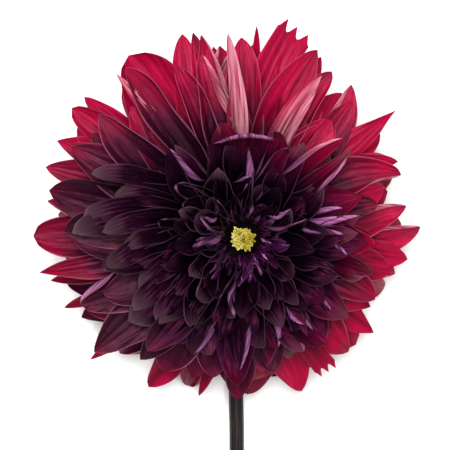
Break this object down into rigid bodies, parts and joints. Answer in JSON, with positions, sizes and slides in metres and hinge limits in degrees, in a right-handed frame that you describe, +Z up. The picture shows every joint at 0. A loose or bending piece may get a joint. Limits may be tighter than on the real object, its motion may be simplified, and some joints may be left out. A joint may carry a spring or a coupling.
{
  "type": "dahlia bloom on a cut stem",
  "caption": "Fully double dahlia flower head with dark quilled inner petals and broad crimson outer ones, lying face up on its reflexed back petals with its cut stem along the surface",
  "frame": {"origin": "the middle of the underside of the part's box, on the surface that it lies on", "axes": "+Z up, out of the bloom's face; +Y from the stem's cut end towards the bloom, the longest way; +X to the right seen from above"},
  "size_m": [0.1522, 0.2646, 0.0678],
  "materials": {
    "stem": "fresh dark green-brown stalk, finely ribbed",
    "green_bract": "fleshy green bract, satin",
    "crimson_petal": "velvety crimson petal, maroon at its base",
    "dark_petal": "satin purple-black petal with a lilac reverse",
    "yellow_disc": "soft yellow-green florets"
  },
  "bodies": {
    "root": {"stem": "stem", "involucre": "green_bract", "outer_ray_florets": "crimson_petal", "inner_ray_florets": "dark_petal", "disc_florets": "yellow_disc"}
  },
  "joints": []
}
